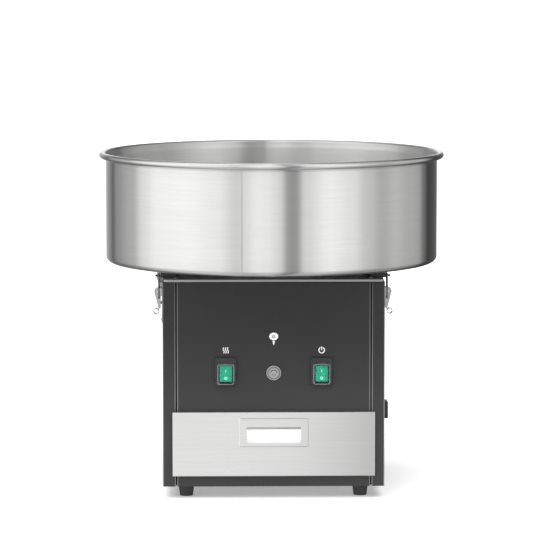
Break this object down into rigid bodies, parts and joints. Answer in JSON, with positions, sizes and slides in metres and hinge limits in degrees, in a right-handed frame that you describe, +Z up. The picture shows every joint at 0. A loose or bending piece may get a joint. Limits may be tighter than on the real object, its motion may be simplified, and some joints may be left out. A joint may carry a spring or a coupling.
{
  "type": "cotton candy machine",
  "caption": "Counter-top cotton candy machine: square dark housing with drawer and rocker switches, toggle latches, and a wide brushed stainless bowl around a spinning head.",
  "frame": {"origin": "on the standing surface under the feet, at the spinner head's axis", "axes": "+Z up along the spinner's axis, -Y towards the front with the drawer and switches, +X towards the side with the power inlet"},
  "size_m": [0.52, 0.52, 0.503],
  "materials": {
    "housing_paint": "dark grey powder coat, fine satin texture",
    "brushed_stainless": "brushed stainless sheet",
    "galvanised_steel": "zinc-plated sheet, satin",
    "black_steel": "black painted bracket steel",
    "zinc_latch": "bright nickel-plated pressed steel",
    "spring_wire": "spring steel wire",
    "screw_steel": "zinc-plated",
    "black_rubber": "matt",
    "black_plastic": "fine matt",
    "boot_frame_plastic": "semi-gloss",
    "clear_cover": "clear flexible vinyl",
    "green_rocker": "translucent green, lit from inside",
    "grey_plastic": "satin grey",
    "brass": "turned",
    "carbon": "pressed carbon",
    "glass_tube": "clear",
    "laminated_steel": "varnished laminations",
    "motor_shell": "satin",
    "cast_aluminium": "turned and bead-blasted",
    "heater_steel": "heat-darkened sheath",
    "bearing_steel": "ground",
    "insulator": "phenolic"
  },
  "bodies": {
    "housing": {"base_plate": "galvanised_steel", "right_side_panel": "housing_paint", "left_side_panel": "housing_paint", "front_panel": "housing_paint", "rear_panel": "housing_paint", "corner_posts": "black_steel", "deck_plate": "brushed_stainless", "deck_seal": "black_rubber", "deck_screws": "screw_steel", "drawer_shelf": "galvanised_steel", "drawer_runners": "galvanised_steel", "rubber_feet": "black_rubber", "foot_screws": "screw_steel", "motor_standoffs": "screw_steel", "motor_plate": "galvanised_steel", "motor_can": "motor_shell", "motor_stator": "laminated_steel", "motor_end_bell": "cast_aluminium", "shaft_bearings": "bearing_steel", "brush_holder": "insulator", "carbon_brushes": "carbon", "shaft_seal": "black_rubber", "heat_switch_body": "black_plastic", "power_switch_body": "black_plastic", "boot_frames": "boot_frame_plastic", "boot_windows": "clear_cover", "fuse_holder": "grey_plastic", "fuse_link": "glass_tube", "power_inlet": "black_plastic", "inlet_pins": "brass", "terminal_block": "black_plastic", "latch_bases": "zinc_latch", "latch_fasteners": "screw_steel"},
    "spinner": {"spinner_shaft": "bearing_steel", "motor_rotor": "laminated_steel", "cooling_fan": "black_plastic", "slip_ring_hub": "insulator", "slip_rings": "brass", "head_base": "cast_aluminium", "floss_band": "cast_aluminium", "heater_ring": "heater_steel", "head_cap": "cast_aluminium", "head_fasteners": "screw_steel"},
    "bowl": {"bowl_pan": "brushed_stainless", "bowl_brackets": "black_steel", "bowl_rivets": "screw_steel"},
    "drawer": {"drawer_tray": "galvanised_steel", "drawer_front": "brushed_stainless", "pull_cup": "brushed_stainless"},
    "heat_rocker": {"heat_rocker": "green_rocker"},
    "power_rocker": {"power_rocker": "green_rocker"},
    "fuse_cap": {"fuse_cap": "grey_plastic"},
    "lever_front_left": {"latch_lever_front_left": "zinc_latch"},
    "bail_front_left": {"latch_bail_front_left": "spring_wire"},
    "lever_front_right": {"latch_lever_front_right": "zinc_latch"},
    "bail_front_right": {"latch_bail_front_right": "spring_wire"},
    "lever_rear_left": {"latch_lever_rear_left": "zinc_latch"},
    "bail_rear_left": {"latch_bail_rear_left": "spring_wire"},
    "lever_rear_right": {"latch_lever_rear_right": "zinc_latch"},
    "bail_rear_right": {"latch_bail_rear_right": "spring_wire"}
  },
  "joints": [
    {"name": "spinner_spin", "type": "hinge", "parent": "housing", "child": "spinner", "pos_m": [0, 0, 0.41], "axis": [0, 0, 1], "continuous": true},
    {"name": "bowl_lift", "type": "slide", "parent": "housing", "child": "bowl", "axis": [0, 0, 1], "range_m": [0, 0.15]},
    {"name": "drawer_slide", "type": "slide", "parent": "housing", "child": "drawer", "axis": [0, -1, 0], "range_m": [0, 0.22]},
    {"name": "heat_rocker_tilt", "type": "hinge", "parent": "housing", "child": "heat_rocker", "pos_m": [-0.0705, -0.1605, 0.1854], "axis": [1, 0, 0], "range_deg": [0, 14]},
    {"name": "power_rocker_tilt", "type": "hinge", "parent": "housing", "child": "power_rocker", "pos_m": [0.0705, -0.1605, 0.1854], "axis": [1, 0, 0], "range_deg": [0, 14]},
    {"name": "fuse_cap_turn", "type": "hinge", "parent": "housing", "child": "fuse_cap", "pos_m": [0, -0.1635, 0.1875], "axis": [0, 1, 0], "range_deg": [0, 90]},
    {"name": "lever_front_left_open", "type": "hinge", "parent": "housing", "child": "lever_front_left", "pos_m": [-0.171, -0.11, 0.303], "axis": [0, 1, 0], "range_deg": [0, 150]},
    {"name": "bail_front_left_swing", "type": "hinge", "parent": "lever_front_left", "child": "bail_front_left", "pos_m": [-0.1691, -0.11, 0.293], "axis": [0, -1, 0], "range_deg": [0, 202.5]},
    {"name": "lever_front_right_open", "type": "hinge", "parent": "housing", "child": "lever_front_right", "pos_m": [0.171, -0.11, 0.303], "axis": [0, -1, 0], "range_deg": [0, 150]},
    {"name": "bail_front_right_swing", "type": "hinge", "parent": "lever_front_right", "child": "bail_front_right", "pos_m": [0.1691, -0.11, 0.293], "axis": [0, 1, 0], "range_deg": [0, 202.5]},
    {"name": "lever_rear_left_open", "type": "hinge", "parent": "housing", "child": "lever_rear_left", "pos_m": [-0.171, 0.11, 0.303], "axis": [0, 1, 0], "range_deg": [0, 150]},
    {"name": "bail_rear_left_swing", "type": "hinge", "parent": "lever_rear_left", "child": "bail_rear_left", "pos_m": [-0.1691, 0.11, 0.293], "axis": [0, -1, 0], "range_deg": [0, 202.5]},
    {"name": "lever_rear_right_open", "type": "hinge", "parent": "housing", "child": "lever_rear_right", "pos_m": [0.171, 0.11, 0.303], "axis": [0, -1, 0], "range_deg": [0, 150]},
    {"name": "bail_rear_right_swing", "type": "hinge", "parent": "lever_rear_right", "child": "bail_rear_right", "pos_m": [0.1691, 0.11, 0.293], "axis": [0, 1, 0], "range_deg": [0, 202.5]}
  ],
  "couplings": [
    {"joint": "bail_front_left_swing", "follows": "lever_front_left_open", "ratio": 1.35},
    {"joint": "bail_front_right_swing", "follows": "lever_front_right_open", "ratio": 1.35},
    {"joint": "bail_rear_left_swing", "follows": "lever_rear_left_open", "ratio": 1.35},
    {"joint": "bail_rear_right_swing", "follows": "lever_rear_right_open", "ratio": 1.35}
  ]
}
